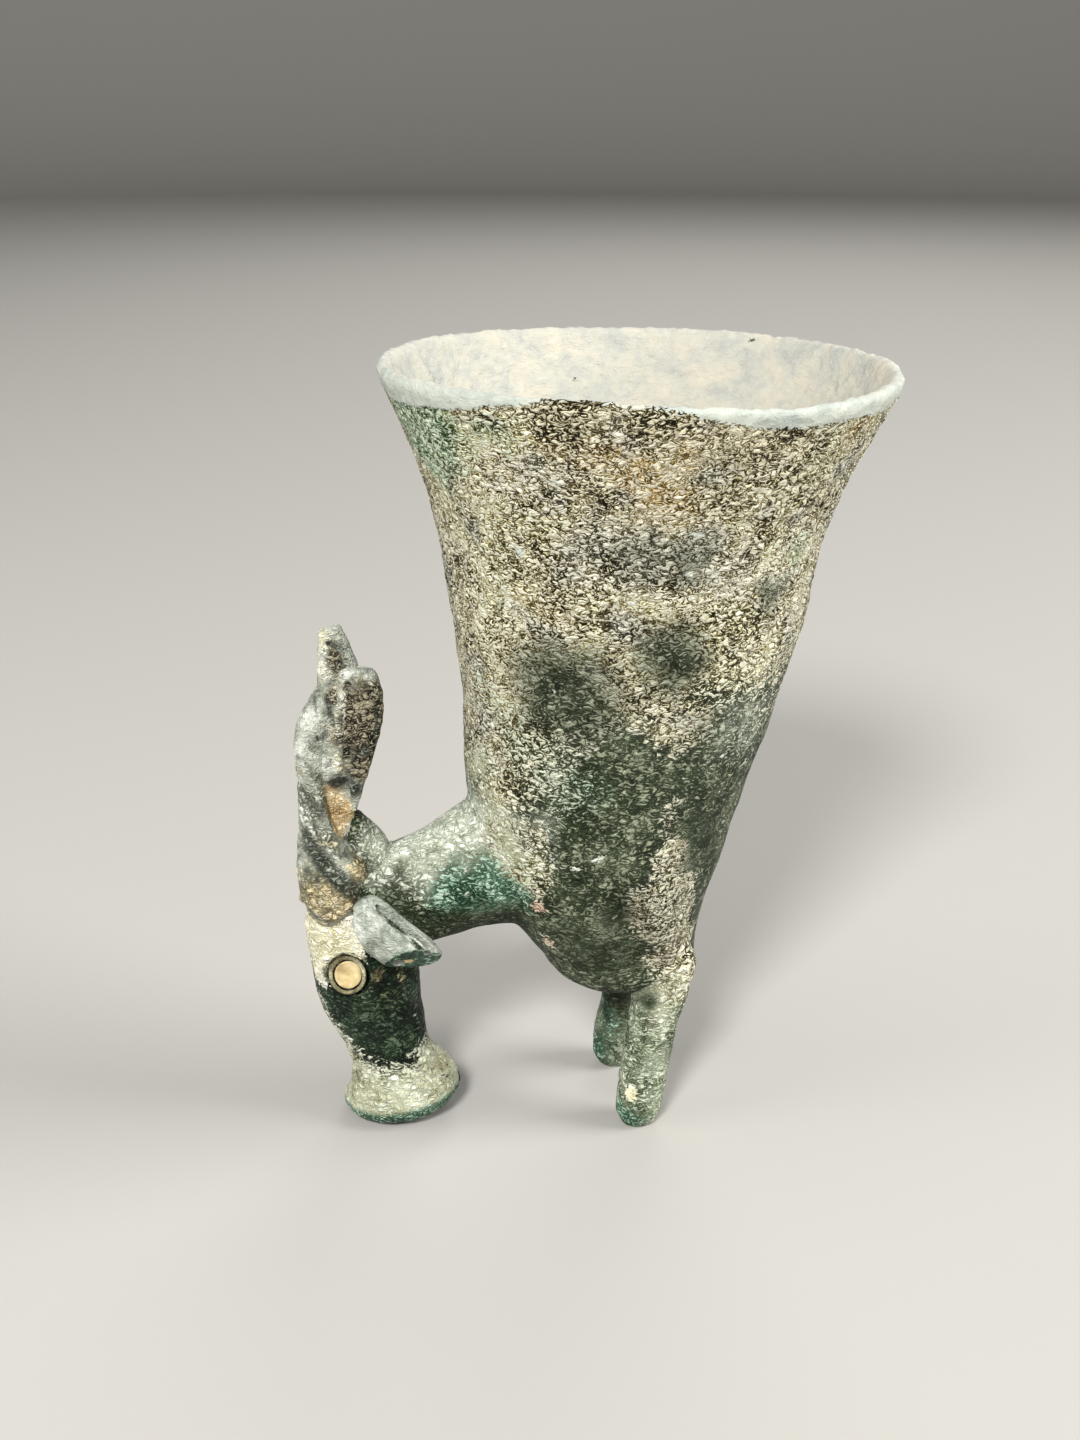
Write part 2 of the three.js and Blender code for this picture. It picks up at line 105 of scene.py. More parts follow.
# Tones of each layer, from the bottoms of its pits to the tops of its grains
tones = {
    "green": ["#0a1105", "#222c19", "#363f2b", "#586149", "#9da389"],
    "leaf": ["#6b7460", "#a3aa93", "#c8ceb9", "#dde3d0", "#f4f9ea"],
    "reed": ["#1c2413", "#58624a", "#909b7d", "#bcc7a8", "#eaf1d8"],
    "deep": ["#010301", "#08110a", "#142315", "#2a3c2a", "#5d6d57"],
    "grey": ["#34372e", "#7f8375", "#b3b7a7", "#d6d9cb", "#f1f2e9"],
    "stone": ["#24281b", "#525645", "#7d8170", "#abb09d", "#f0f2e0"],
    "silver": ["#363a31", "#71766b", "#a0a699", "#c6cabf", "#eff1e8"],
    "worn_and_highlight": ["#7f8375", "#aaaea0", "#c5c8bb", "#d5d8cc", "#e4e6dc"],
    "crust": ["#120f05", "#5a5132", "#c6b888", "#fbf0c4", "#fffce4"],
    "umber": ["#17140a", "#453e27", "#897e58", "#cfc296", "#faf2d2"],
    "ochre": ["#2c2813", "#81774b", "#d0c48e", "#f8efbf", "#fffee2"],
    "ash": ["#1b1c14", "#4f4e3e", "#87836e", "#c3bfa6", "#f4f0db"],
    "cream": ["#928b67", "#cec8a2", "#f2edca", "#f9f6de", "#fdfbee"],
    "earth": ["#24220e", "#544c31", "#857d5b", "#b6a981", "#eedcb2"],
    "brown": ["#080501", "#211c0e", "#463f2a", "#756c52", "#c0b698"],
    "soil": ["#6a5530", "#bfa272", "#ecd2a2", "#f6e4bc", "#fbf2d8"],
    "warm": ["#3f3118", "#9a8048", "#dcbd7c", "#f5e2b0", "#fdf5da"],
    "pink": ["#5e4a38", "#a1836a", "#ccae92", "#e3cdb6", "#f4e6d6"],
    "moss": ["#1f3018", "#526f47", "#87a67a", "#b9cfa6", "#e8f2d8"],
    "teal": ["#06140c", "#1a3323", "#30503b", "#587a63", "#b4ccb6"],
    "soot": ["#0b1006", "#232a1a", "#3b4230", "#5c634d", "#9fa48c"],
    "dark": ["#060904", "#151c0e", "#27301d", "#434d36", "#7b836f"],
    "chalk": ["#8f9690", "#9fa59d", "#aaafa5", "#b1b4a8", "#b9baac"],
    "flint": ["#0a0b07", "#20241c", "#383d33", "#5f6558", "#a8ac9d"],
    "tan": ["#120f05", "#403b25", "#837d5f", "#bab493", "#f0ecd2"],
    "lime": ["#747453", "#a8a987", "#c9caaa", "#dcdec3", "#eef0dc"],
    "pale": ["#92938d", "#a1a199", "#aba99d", "#b2ad9e", "#b9b3a2"],
}
stops = (0.1, 0.32, 0.5, 0.68, 0.9)

# Tin bronze, cast and long buried: green carbonate under a granular crust of lime and earth.
# To the eye it is matt and grainy where the crust holds, and a little waxy where it has come away.
# Each layer is its mark, tones, pattern, roughness, height of its grains in mm and softness of its edge;
# most marks are stains, but in places the dark and teal marks are painted shade, the pale and ochre marks
# painted light, and the worn mark painted highlights.
layers = {
    "wall": [("ground", "green", "strands", 0.5, 0.25, 0.0), ("pale", "leaf", "soft", 0.45, 0.18, 0.45),
             ("deep", "deep", "soft", 0.4, 0.2, 0.3), ("crust", "crust", "grains", 0.9, 0.45, 0.12),
             ("umber", "umber", "grains", 0.9, 0.5, 0.4), ("ochre", "ochre", "grains", 0.9, 0.45, 0.4),
             ("ash", "ash", "grains", 0.9, 0.45, 0.4), ("soot", "soot", "strands", 0.7, 0.4, 0.45),
             ("moss", "moss", "grains", 0.8, 0.4, 0.3), ("tan", "tan", "grains", 0.8, 0.5, 0.3),
             ("warm", "warm", "grains", 0.9, 0.45, 0.4), ("cream", "cream", "soft", 0.6, 0.2, 0.15),
             ("lime", "lime", "soft", 0.6, 0.25, 0.2), ("slate", "umber", "streaks", 0.5, 0.25, 0.3),
             ("teal", "teal", "strands", 0.45, 0.2, 0.3), ("mouth", "pale", "clouds", 0.6, 0.03, 0.1),
             ("rim", "chalk", "clouds", 0.6, 0.03, 0.1),
             ("dark", "dark", "soft", 0.6, 0.3, 0.25), ("pink", "pink", "soft", 0.7, 0.2, 0.2),
             ("fleck", "worn_and_highlight", "clouds", 0.4, 0.1, 0.2)],
    "horn": [("ground", "grey", "clouds", 0.36, 0.16, 0.0), ("stone", "stone", "strands", 0.45, 0.3, 0.25),
             ("earth", "earth", "strands", 0.6, 0.3, 0.25), ("brown", "brown", "grains", 0.7, 0.5, 0.2),
             ("soil", "soil", "soft", 0.95, 0.2, 0.3), ("cream", "cream", "soft", 0.55, 0.25, 0.2),
             ("worn_and_highlight", "worn_and_highlight", "clouds", 0.4, 0.1, 0.2), ("dark", "flint", "soft", 0.45, 0.25, 0.25)],
    "ear": [("ground", "silver", "clouds", 0.34, 0.1, 0.0), ("teal", "teal", "soft", 0.45, 0.12, 0.2),
            ("worn_and_highlight", "worn_and_highlight", "clouds", 0.36, 0.1, 0.2), ("dark", "dark", "soft", 0.6, 0.1, 0.15),
            ("soil", "soil", "clouds", 0.7, 0.1, 0.2)],
    "leg": [("ground", "reed", "strands", 0.5, 0.4, 0.0), ("crust", "crust", "grains", 0.85, 0.45, 0.15),
            ("lime", "lime", "soft", 0.6, 0.25, 0.4), ("dark", "dark", "soft", 0.6, 0.24, 0.3),
            ("teal", "teal", "soft", 0.5, 0.2, 0.3), ("cream", "cream", "clouds", 0.5, 0.12, 0.15)],
    "bezel": [("ground", "tan", "clouds", 0.5, 0.12, 0.0)],
}
# How far the grains fray the edge of a layer, and how the surface shines
surfaces = {
    "wall": {"fray": 0.9, "shine": 0.12}, "horn": {"fray": 0.6, "shine": 0.3},
    "ear": {"fray": 0.3, "shine": 0.35}, "leg": {"fray": 0.7, "shine": 0.15},
    "bezel": {"fray": 0.0, "shine": 0.2},
}
# Noises of the surface: size in mm, squeeze upwards, and settings
noises = {
    "grain": (1.05, 1.6, {"Detail": 3.5, "Roughness": 0.6, "Distortion": 0.7}),
    "fine": (0.35, 1.6, {"Detail": 2.0}),
    "cloud": (3.6, 1.0, {"Detail": 6.0, "Roughness": 0.62, "Distortion": 0.4}),
    "broad": (9.0, 1.0, {"Detail": 3.0}),
    "streak": (1.05, 0.45, {"Detail": 3.0, "Distortion": 0.6}),
}
# Heights mixed from them, each an offset and its shares: grains parted by thin wrinkles, softer ones,
# strands, smooth clouds, drawn streaks, and the ragged edge where the grains of a layer thin out
mixes = {
    "wrinkle": (-1.0, {"grain": 2.0}),
    "grains": (-1.2, {"wrinkle": 5.8, "broad": 0.6, "fine": 0.4, "cloud": 1.5}),
    "soft": (-0.12, {"grains": 0.3, "cloud": 0.9}),
    "strands": (-0.06, {"grains": 0.4, "cloud": 0.75}),
    "clouds": (-0.4, {"cloud": 1.5, "fine": 0.3}),
    "streaks": (-0.65, {"streak": 1.3, "cloud": 1.0}),
    "ragged": (-0.67, {"grains": 0.6, "cloud": 0.6}),
}
# Edges: the share at the middle of an edge, the share that frays fully, how far a soft edge calms it,
# and how far a thin crust sinks
layerEdge = {"half": 0.5, "frayTo": 0.25, "calm": 1.5, "thin": -0.4}


def castBronze(name, stack, fray, shine):
    material = bpy.data.materials.new(name)
    material.use_nodes = True
    tree = material.node_tree
    tree.nodes.clear()
    spot = put(tree, "TexCoord").outputs["Object"]
    heights = {}
    for kind, (size, squeeze, settings) in noises.items():
        place = put(tree, "Mapping", {"Vector": spot, "Scale": (1, 1, squeeze)}).outputs["Vector"]
        inputs = {"Vector": place, "Scale": perMm(size), **settings}
        heights[kind] = put(tree, "TexNoise", inputs).outputs["Fac"]
    for kind, (height, parts) in mixes.items():
        for source, gain in parts.items():
            inputs = {0: heights[source], 1: gain, 2: height}
            height = put(tree, "Math", inputs, operation="MULTIPLY_ADD").outputs[0]
        if kind == "wrinkle":
            height = put(tree, "Math", {0: height}, operation="ABSOLUTE").outputs[0]
        heights[kind] = height

    for mark, tone, pattern, rough, relief, edge in stack:
        height = heights[pattern]
        if mark != "ground":
            share = put(tree, "Attribute", attribute_name=mark).outputs["Fac"]
        if mark == "crust":
            thin = put(tree, "MapRange", {"Value": share, "To Min": layerEdge["thin"], "To Max": 0.0})
            height = put(tree, "Math", {0: height, 1: thin.outputs["Result"]}, operation="ADD").outputs[0]
        paint = put(tree, "ValToRGB", {"Fac": height}, ramp=list(zip(stops, tones[tone]))).outputs["Color"]
        if mark == "ground":
            colour, roughness, depth = paint, rough, relief
            continue
        frayed = put(tree, "MapRange", {"Value": share, "From Max": layerEdge["frayTo"],
                                        "To Max": fray * (1 - layerEdge["calm"] * edge)}).outputs["Result"]
        inputs = {0: frayed, 1: heights["ragged"], 2: share}
        reach = put(tree, "Math", inputs, operation="MULTIPLY_ADD").outputs[0]
        mask = put(tree, "MapRange", {"Value": reach, "From Min": layerEdge["half"] - edge,
                                      "From Max": layerEdge["half"] + edge},
                   interpolation_type="SMOOTHSTEP").outputs["Result"]
        colour = put(tree, "MixRGB", {"Fac": mask, "Color1": colour, "Color2": paint}).outputs["Color"]
        roughness = put(tree, "Mix", {0: mask, 2: roughness, 3: rough}).outputs[0]
        depth = put(tree, "Mix", {0: mask, 2: depth, 3: relief}).outputs[0]
    depth = put(tree, "Math", {0: depth, 1: mm}, operation="MULTIPLY").outputs[0]
    bump = put(tree, "Bump", {"Height": heights["grains"], "Distance": depth}).outputs["Normal"]
    shader = put(tree, "BsdfPrincipled", {"Base Color": colour, "Roughness": roughness, "Normal": bump,
                                          "Specular IOR Level": shine})
    put(tree, "OutputMaterial", {"Surface": shader.outputs["BSDF"]})
    return material


# Fired paste of lime and ochre, pressed in: matt, warm and finely gritty
eyePaste = {
    "tones": [(0.3, "#95835a"), (0.5, "#b5a276"), (0.7, "#cbb98f")],
    "grit": 1.2, "bump": 0.06, "rough": 0.9,
}


def pressedPaste():
    material = bpy.data.materials.new("pressed lime paste")
    material.use_nodes = True
    tree = material.node_tree
    tree.nodes.clear()
    spot = put(tree, "TexCoord").outputs["Object"]
    scale = perMm(eyePaste["grit"])
    grit = put(tree, "TexNoise", {"Vector": spot, "Scale": scale, "Detail": 4.0}).outputs["Fac"]
    tone = put(tree, "ValToRGB", {"Fac": grit}, ramp=eyePaste["tones"]).outputs["Color"]
    bump = put(tree, "Bump", {"Height": grit, "Distance": eyePaste["bump"] * mm}).outputs["Normal"]
    shader = put(tree, "BsdfPrincipled", {"Base Color": tone, "Roughness": eyePaste["rough"],
                                          "Normal": bump})
    put(tree, "OutputMaterial", {"Surface": shader.outputs["BSDF"]})
    return material


# Tin-lead solder, run in hot: grey, half bright, with a dull skin
solderSkin = {"tones": [(0.35, "#5c5f60"), (0.65, "#8b8e8e")], "skin": 1.5, "smooth": 0.3, "dull": 0.6}


def runSolder():
    material = bpy.data.materials.new("run tin solder")
    material.use_nodes = True
    tree = material.node_tree
    tree.nodes.clear()
    spot = put(tree, "TexCoord").outputs["Object"]
    scale = perMm(solderSkin["skin"])
    skin = put(tree, "TexNoise", {"Vector": spot, "Scale": scale, "Detail": 3.0}).outputs["Fac"]
    tone = put(tree, "ValToRGB", {"Fac": skin}, ramp=solderSkin["tones"]).outputs["Color"]
    rough = put(tree, "MapRange", {"Value": skin, "To Min": solderSkin["smooth"],
                                   "To Max": solderSkin["dull"]}).outputs["Result"]
    shader = put(tree, "BsdfPrincipled", {"Base Color": tone, "Roughness": rough, "Metallic": 1.0})
    put(tree, "OutputMaterial", {"Surface": shader.outputs["BSDF"]})
    return material


finishes = {}
for part, stack in layers.items():
    finishes[part] = castBronze(f"buried cast bronze, {part}", stack, **surfaces[part])
finishes["paste"] = pressedPaste()
finishes["solder"] = runSolder()
print("finishes ready")


# Stains, painted shade and painted highlights, as x, y, z and reach in mm, and strength
wallStainsShadeAndLight = {
    "crust": [(-11, -10, 40, 6.5, 1.3), (-9, -11.5, 36, 4, 0.9), (7, -15.2, 39, 4, 1.2),
              (7, -14, 34, 5.5, 1.6), (9, -12.8, 29, 6, 1.6), (10.5, -10.5, 24, 6, 1.6),
              (-14, -7, 54, 12, 0.7)],
    "bare": [(-7, -17, 62, 9, 0.4), (5.4, -21.4, 66, 6, 0.3), (0, -18, 50, 12, 0.5),
             (3, -19.5, 56, 7, 0.5), (-6, -16.5, 54, 8, 0.4), (-12, -11, 59, 6, 0.4)],
    "soot": [(-6.1, -17.8, 62.5, 9.5, 1.25), (-2.5, -19.2, 61, 7, 0.85), (-9, -15.8, 62, 6, 0.7),
             (5.9, -21.6, 67, 7, 1.15), (1.8, -23.7, 80, 6, 0.5), (7.5, -23.6, 79, 5, 0.6),
             (18.5, -18, 73, 5, 0.8), (12, -18, 57, 8, 0.4)],
    # The first four pale spots, along the top of the neck, are partly pale patina and partly painted light
    # falling on it from above
    "pale": [(-21.5, -3, 39, 9.5, 1.4), (-15.4, -4.5, 41, 10, 1.2), (-19, 0, 39, 10.5, 1.2),
             (-25, -3, 37, 6.5, 1.2), (17, -14.5, 57, 9, 0.45), (-22.5, -4, 15, 4, 0.7),
             (-12, -9, 43, 8, 1.0), (-9, -12, 44, 7, 0.6)],
    "umber": [(-13, -23, 96, 6, 0.9), (-7, -27, 95, 7, 1.1), (0, -29, 96, 7, 1.1), (7, -30, 95, 7, 1.0),
              (14, -30, 95, 6, 0.9), (11, -26, 89, 6, 0.7), (-7, -25, 88, 6, 0.9)],
    # The ochre spots at (25, -22, 93), (21, -23, 88) and (30, -8, 92) are partly yellow crust and partly
    # painted light on the right side
    "ochre": [(-18, -10, 85, 9, 1.2), (-15, -15, 80, 9, 1.1), (-14, -13, 72, 8, 0.9),
              (25, -22, 93, 8, 1.3), (21, -23, 88, 7, 1.0), (30, -8, 92, 9, 1.1), (-12, -12, 64, 7, 0.8),
              (-13, -9, 45, 8, 1.0), (-11, -10, 40, 7, 1.5), (2, -22.5, 74, 7, 0.7),
              (13, -20, 69, 7, 1.0)],
    "ash": [(-3.6, -22.5, 81, 6, 1.1), (2, -23.7, 80, 7, 1.3), (8, -23.5, 79.5, 6, 1.2),
            (14, -22, 76, 7, 0.8), (19, -17.5, 73.5, 5, 1.0), (-10, -23, 90, 5, 0.8),
            (8.5, -13, 30, 7, 0.8)],
    "moss": [(-22.6, -8, 93.7, 9, 1.4), (-19.2, -14.7, 92.6, 8, 1.1), (-21, -10, 89, 7, 1.0),
             (-14, -21, 94, 5, 0.7), (22, -18, 78, 6, 0.6), (-20.5, -3.5, 14, 3, 0.7),
             (-10, -13, 55, 9, 0.5), (-6, -15, 50, 8, 0.4), (-13, -8, 60, 7, 0.4)],
    "warm": [(1, -27.3, 89.5, 5.5, 1.3), (4, -26.4, 86.5, 5.5, 1.4), (6, -29, 92.6, 4, 0.9),
             (-4, -27.5, 92.5, 5, 0.8), (-8, -25, 92, 4, 0.7), (-11, -17, 74, 4, 0.7),
             (-7, -19.5, 72, 4, 0.6), (26, -20, 93, 6, 0.8)],
    "teal": [(-14, -8.5, 34, 5.5, 1.7), (-17.5, -7.5, 33.5, 4.5, 1.4), (-11, -10, 33.5, 4, 1.1),
             (-2, -17, 50, 5, 0.4)],
    # The two large dark spots at (-13, -4, 27) and (-20, -3, 26) are painted shade under the neck
    "dark": [(2, -14, 32, 5, 0.6), (0, -11, 25, 8, 0.5), (-3, -11, 28, 6, 0.45), (12, -14, 41, 6, 0.7),
             (-13, -4, 27, 9, 1.1), (-20, -3, 26, 7, 1.1), (2.2, 26.6, 91.2, 0.6, 1.0),
             (25.1, 22.4, 96.4, 0.6, 1.0)],
    "pink": [(-7.5, -10.8, 32.6, 1.8, 1.0), (-5.9, -8.4, 26.7, 1.6, 0.9)],
    "fleck": [(-10.6, -17.6, 79.3, 1.2, 1.4), (-6, -21, 82, 1.0, 1.2), (-12.5, -17, 84.5, 1.1, 1.2)],
    "slate": [(-18.5, -3, 6.5, 4.5, 0.6), (-27.6, -6.8, 22.4, 1.6, 0.9), (-25, -6, 21, 4, 0.6)],
    "cream": [],
    "lime": [(-11, -9.9, 40, 5.5, 1.1), (-12.5, -8.5, 43.5, 5, 0.9), (-9, -11.5, 37, 3.5, 0.7),
             (-13.5, -7, 50, 6, 0.8)],
    "tan": [(7, -15.2, 39, 4, 1.1), (7, -14, 34, 5.5, 1.4), (9, -12.8, 29, 6, 1.4),
            (10.5, -10.5, 24.5, 5, 1.1), (7.2, -16.6, 44, 3.5, 0.6), (7, -17.4, 47.5, 3, 0.45)],
}
faceStainsAndShade = {
    "cream": [(-33.5, -4.5, 26.5, 6, 1.8), (-30.5, -6, 27, 4.5, 1.6), (-35, -3, 22.5, 4.5, 1.3),
              (-35.5, -1.5, 27.5, 5, 1.6)],
    # The dark round the eye is painted shade in its socket
    "dark": [(-31.4, -6.1, 22.6, 4.2, 1.6)],
}
hornStainsShadeAndHighlights = {
    "stone": [(-34.5, -4.4, 45, 5, 1.1), (-33.5, -5, 40.5, 4, 1.2), (-36, -4, 44, 4, 0.9),
              (-29, -4, 47, 4, 1.2), (-36, -5, 35, 4, 0.8), (-35.4, -4.3, 51, 3.5, 0.6),
              (-34.2, -4.4, 56, 3, 0.55), (-32.4, -4.4, 53, 3, 0.6)],
    "earth": [(-33.5, -6, 33, 6, 1.3), (-30.5, -6.5, 33, 5, 1.3), (-29, -5.5, 36, 4, 1.2),
              (-31.2, -4.4, 54, 2.4, 0.7)],
    "brown": [(-28.2, -4.4, 56, 6, 1.5), (-28.4, -4.6, 51, 5, 1.5), (-30, -4.5, 57.5, 3, 1.2),
              (-29.5, -4.5, 49.5, 3, 1.4), (-31.8, -4.2, 58.5, 2, 1.1), (-30.6, -1.2, 61, 3, 1.1)],
    "soil": [(-31.9, -2.1, 43.2, 3.6, 1.5), (-32.3, -2.4, 45.8, 2.2, 1.1), (-31.6, -2.4, 40.8, 2.2, 1.2),
             (-32.4, -6.8, 31.4, 2.8, 0.7)],
    # These dark spots are painted shade in the hollow under the slab
    "dark": [(-30.6, -2.2, 47, 3, 1.4), (-29.8, -3.5, 46.2, 2, 1.2), (-28.2, -4.7, 51.4, 1.3, 1.0)],
    "cream": [(-33, -1.5, 63.5, 3, 1.3), (-32.6, -1.5, 60.5, 2.2, 0.8), (-27.5, -5.6, 34, 1.6, 1.0)],
    # These worn spots on top of the nub are painted highlights
    "worn_and_highlight": [(-29.6, -3.6, 61.2, 1.7, 0.9), (-27.4, -3.8, 60.6, 1.5, 0.8)],
}
earStains = {
    "teal": [(-24.5, -10.8, 27.4, 2.4, 0.8)],
    "worn_and_highlight": [],
    "dark": [],
    "soil": [(-23.7, -9.4, 25.4, 0.9, 1.3)],
}
legStainsAndShade = {
    "crust": [(10.5, -9.5, 22.5, 7, 1.4), (8.5, -10, 18, 3.5, 0.8)],
    "lime": [(9, -11, 20.5, 6, 0.9), (7.5, -11, 16.5, 6, 0.8)],
    # These dark spots are painted shade: where the leg meets the body, down its left edge and on its right
    # side
    "dark": [(6, -9, 18.5, 3, 0.9), (9, -8, 10, 5, 0.6), (3.5, -9, 13, 1.6, 0.7)],
    "teal": [(3.5, -9.5, 1.2, 4, 1.1)],
    "cream": [(4.2, -10.6, 5.3, 1.4, 1.4), (3.2, -9, 9, 1, 1.0)],
}
farLegShadeAndStains = {
    "crust": [],
    "lime": [],
    # These broad dark spots darken the whole far leg as painted shade
    "dark": [(6, 7, 14, 9, 1.0), (7, 8, 5, 7, 0.7)],
    "teal": [(4, 5, 8, 6, 0.8), (3, 7, 3, 6, 1.1)],
    "cream": [],
}
drift = {"reach": 2.2, "size": 4.5}


# Stains, painted shade and painted highlights have ragged outlines, so each spot looks for them a little
# off its own place
def markShare(spots, spot):
    looked = spot + noise.noise_vector(spot / drift["size"]) * drift["reach"]
    best = 0.0
    for x, y, z, reach, strength in spots:
        place = looked if reach > drift["reach"] else spot
        best = max(best, strength * (1 - (place - Vector((x, y, z))).length / reach))
    return best


def ease(value, low, high):
    share = min(max((value - low) / (high - low), 0.0), 1.0)
    return share * share * (3 - 2 * share)


# The thick crust covers the upper wall and thins out downwards
crustLine = {
    "top": 68.0, "bottom": 38.0, "least": 0.03, "wander": 12.0, "size": 9.0, "slope": 0.28, "front": -16.0,
    "headX": -20.0, "headZ": 50.0,
}


def crustShare(spot):
    if spot.x < crustLine["headX"] and spot.z < crustLine["headZ"]:
        return 0.0
    wander = crustLine["wander"] * noise.noise(spot / crustLine["size"])
    height = spot.z + wander - crustLine["slope"] * (spot.x - crustLine["front"])
    share = ease(height, crustLine["bottom"], crustLine["top"])
    share = crustLine["least"] + (1 - crustLine["least"]) * share + markShare(wallStainsShadeAndLight["crust"], spot)
    return max(crustLine["least"], min(1.0, share) - markShare(wallStainsShadeAndLight["bare"], spot))


# Relief in the metal itself: how high, and how far apart, in mm
reliefs = {"dents": (0.35, 13.0), "lumps": (0.12, 3.2), "grain": (0.2, 1.15)}


def weather(bm, roughness):
    bm.normal_update()
    lift = []
    for vert in bm.verts:
        spot = vert.co / mm
        height = 0.0
        for kind, (amount, size) in reliefs.items():
            swell = noise.fractal(spot / size, 1.0, 2.0, 2)
            height += amount * swell * (roughness(spot) if kind == "grain" else 1.0)
        lift.append(height)
    for vert, height in zip(bm.verts, lift):
        vert.co += vert.normal * height * mm


# A fold, ridge or crack: points in mm, reach to each side, height (below zero for a groove) and the mark
# painted along it: a stain, painted shade in a groove, or a painted highlight on a ridge
def line(points, reach, height, mark=None):
    return [Vector(point) for point in points], reach, height, mark


wallLines = [
    line([(4, -15.6, 38), (5.8, -14.4, 34), (8, -12.9, 29), (10.5, -10.5, 24)], 4.0, 0.7),
    line([(1.2, -15.8, 38), (2.6, -14, 32), (4, -12, 27), (5.4, -9.8, 22)], 2.2, -0.5),
    line([(-1.8, -16.3, 40.4), (-0.4, -16.5, 41.4), (0.3, -16.6, 41.5)], 0.38, 0.1, "fleck"),
    line([(-4.2, -15.2, 39), (-2.8, -15.6, 39.7)], 0.35, 0.1, "fleck"),
    line([(-4.4, -15, 38.2), (-3.6, -15, 36.8), (-3.2, -15, 37.8)], 0.5, -0.15, "dark"),
]
hornLines = [
    # This worn ridge, on the upper left of the limb, is partly worn metal and partly a painted highlight
    # where the light falls
    line([(-36, -3.6, 51), (-35.2, -4.2, 54), (-33.8, -4.3, 57.5)], 1.7, 0.15, "worn_and_highlight"),
    line([(-30.8, -4.4, 59), (-31.2, -4.6, 54.5), (-31.5, -4.3, 49.5)], 0.9, 0.4, "cream"),
    line([(-29.9, -4.5, 59.5), (-30.1, -4.8, 54.5), (-30.4, -4.2, 51)], 1.0, -0.3, "brown"),
    line([(-30.2, -3.4, 60.8), (-29.8, -4.4, 59.7), (-27.9, -4.7, 58.6), (-26.6, -3.6, 58.4)],
         0.8, -0.3, "brown"),
    line([(-37, -2.5, 47.5), (-36, -3.9, 47), (-34.7, -4.4, 45.5), (-34.1, -4.5, 43.6)],
         1.1, -0.4, "stone"),
    # This dark groove is painted shade in the valley between the limb and the base lobe
    line([(-36.6, -4, 41), (-34.7, -5.5, 38.7), (-32.9, -6.1, 36.6),
          (-30.6, -6.7, 34.3), (-28.2, -5.9, 33.4)], 1.9, -0.8, "dark"),
    line([(-32.9, -3.4, 47.9), (-33.5, -3.6, 45.1), (-32.9, -4.1, 42), (-32, -4.4, 39.8)], 0.6, 0.3),
    line([(-35.2, -4.4, 46), (-34.5, -4.7, 42.5), (-33.8, -5.3, 40)], 0.5, -0.3, "dark"),
    line([(-36.7, -3.4, 45), (-36, -4.3, 42), (-35.9, -4.6, 40)], 0.5, 0.15, "worn_and_highlight"),
    # This dark groove is painted shade: the contact shadow under the base lobe
    line([(-36.6, -4.8, 31.5), (-34.4, -6.1, 29.8), (-32.6, -6.4, 29.3), (-30.8, -6.6, 30.2)],
         0.8, -0.2, "dark"),
    line([(-33.3, -2.4, 64), (-31.7, -1.1, 63.7), (-29.8, -1.1, 62.6)], 0.5, -0.4, "dark"),
    line([(-32.4, -1.4, 63), (-31.9, -1.1, 60.5), (-31.6, -1.2, 59)], 0.4, -0.25, "dark"),
    line([(-32.6, -4.3, 59.5), (-32.2, -4.5, 57), (-31.9, -4.6, 55.2)], 0.5, -0.35, "dark"),
    line([(-27, -4.6, 59.5), (-26.6, -4.6, 57), (-26.7, -4.5, 54.5), (-27.5, -4.7, 52.3)],
         0.4, -0.3, "dark"),
    line([(-30.3, -4.4, 59.8), (-28.8, -4.6, 59), (-27.2, -4.6, 58.9)], 0.45, -0.3, "dark"),
    line([(-35, -4.5, 54.6), (-34.5, -4.5, 53.7)], 0.35, -0.1, "dark"),
    line([(-34.3, -4.5, 54.8), (-33.8, -4.6, 53.4)], 0.35, -0.1, "dark"),
    line([(-35.7, -4.2, 52.6), (-35.2, -4.4, 51.4), (-35.3, -4.4, 50.4)], 0.35, -0.1, "dark"),
]
earLines = [
    # This worn ridge is partly a worn edge and partly a painted highlight along the ridge of the ear
    line([(-28.4, -8.6, 32), (-26.3, -9.7, 30.4), (-24.9, -10.6, 29.1), (-23.6, -11.2, 28)],
         0.7, 0.25, "worn_and_highlight"),
    # This dark groove is painted shade in the slit of the ear
    line([(-27.6, -8.8, 32.7), (-25.8, -9.9, 31), (-23.6, -11.1, 29.2), (-22.3, -11.6, 27.9)],
         0.5, -0.45, "dark"),
    # This worn ridge is partly a worn edge and partly a painted highlight along the ridge of the ear
    line([(-26.8, -8.9, 32.6), (-25.2, -9.7, 31.8), (-23.6, -10.8, 29.9), (-22.4, -11.3, 28.6)],
         0.5, 0.2, "worn_and_highlight"),
    # This dark groove is painted shade in a crease of the ear
    line([(-26.2, -8.2, 32.9), (-24.6, -9.2, 31.6), (-23, -10.4, 30), (-21.9, -11, 28.6)],
         0.35, -0.2, "dark"),
    # This dark pit is painted shade
    line([(-25.2, -9.5, 25.2), (-24.9, -9, 24.7)], 0.7, -0.7, "dark"),
]


# Distance from a spot to a line of points
def lineGap(spot, points):
    gaps = []
    for start, end in zip(points, points[1:]):
        place, share = intersect_point_line(spot, start, end)
        gaps.append((spot - (start if share < 0 else end if share > 1 else place)).length)
    return min(gaps)


